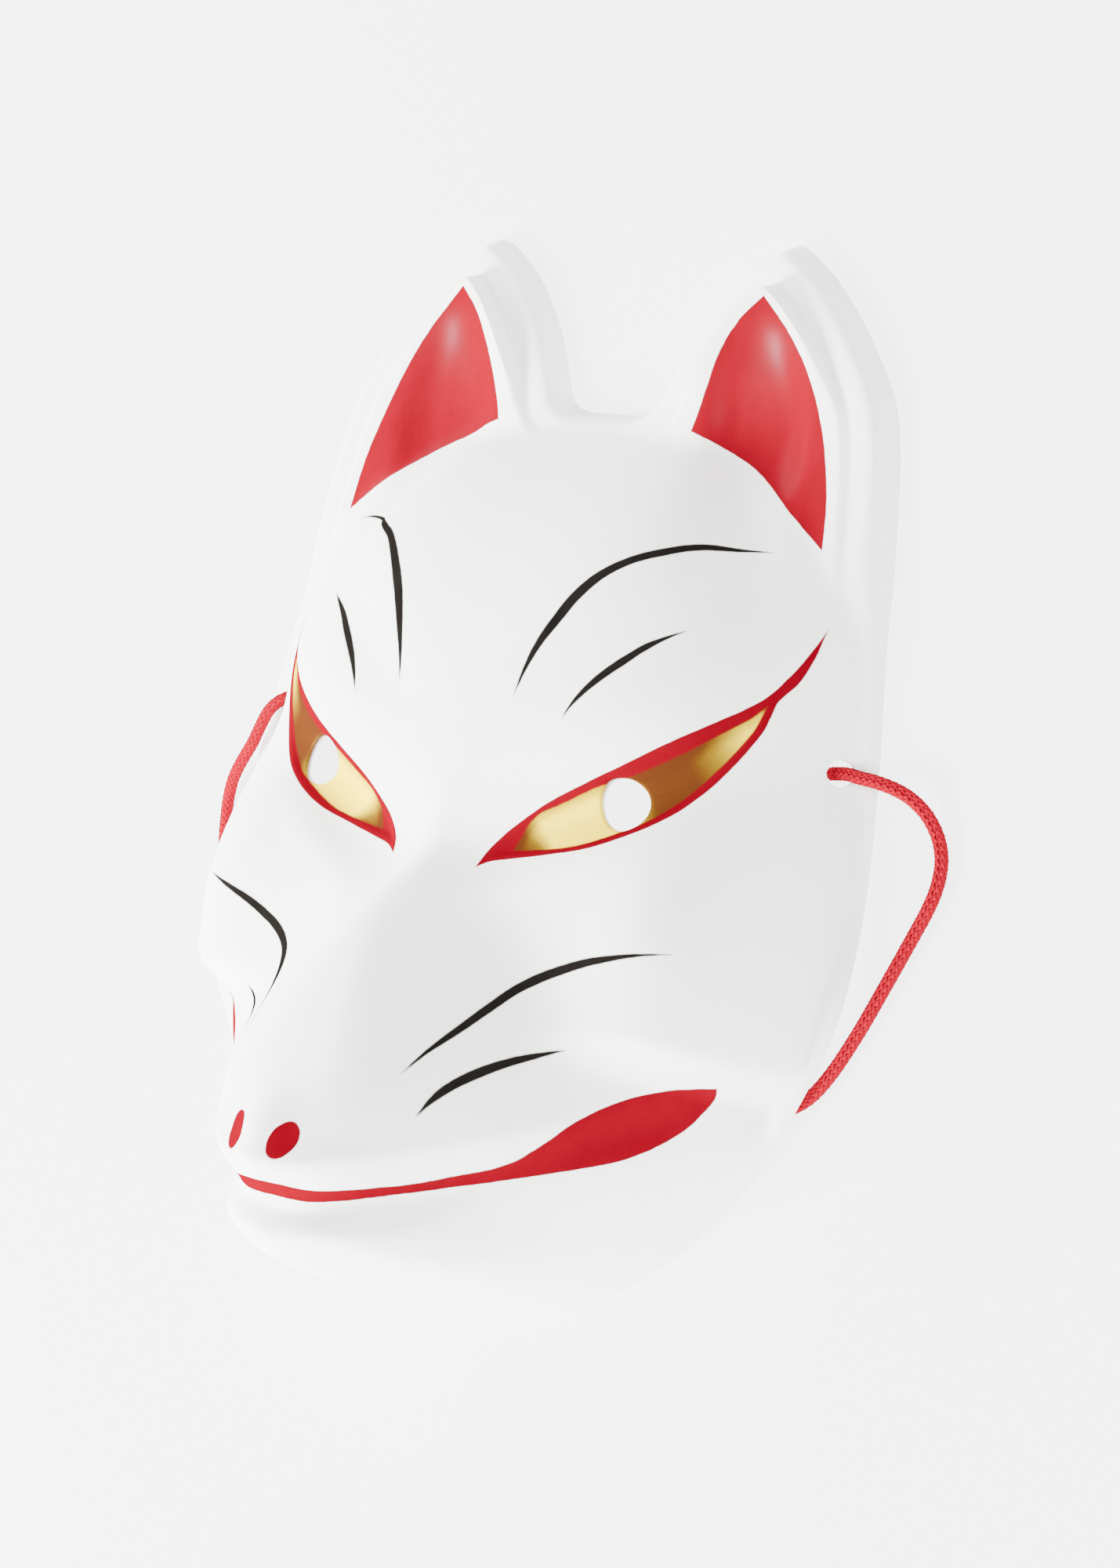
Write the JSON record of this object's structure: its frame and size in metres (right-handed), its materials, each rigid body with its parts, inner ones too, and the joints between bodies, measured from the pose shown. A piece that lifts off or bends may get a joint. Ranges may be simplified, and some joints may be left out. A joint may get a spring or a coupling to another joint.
{
  "type": "fox mask",
  "caption": "Hollow fox face mask with pointed ears, round eye holes and a soft elastic cord between its side holes.",
  "frame": {"origin": "on the ground under the middle of the shell, as it lies face up on its rim", "axes": "+Z out of the face, +Y from the chin to the ears, +X to the right as the face is looked at"},
  "size_m": [0.1963, 0.24, 0.0758],
  "materials": {
    "painted_shell": "satin white moulded plastic, painted red, gold and brown-black",
    "red_elastic": "red braided elastic"
  },
  "bodies": {
    "root": {"mask_shell": "painted_shell", "elastic_cord": "red_elastic", "cord_knot_right": "red_elastic", "cord_knot_left": "red_elastic"}
  },
  "joints": []
}
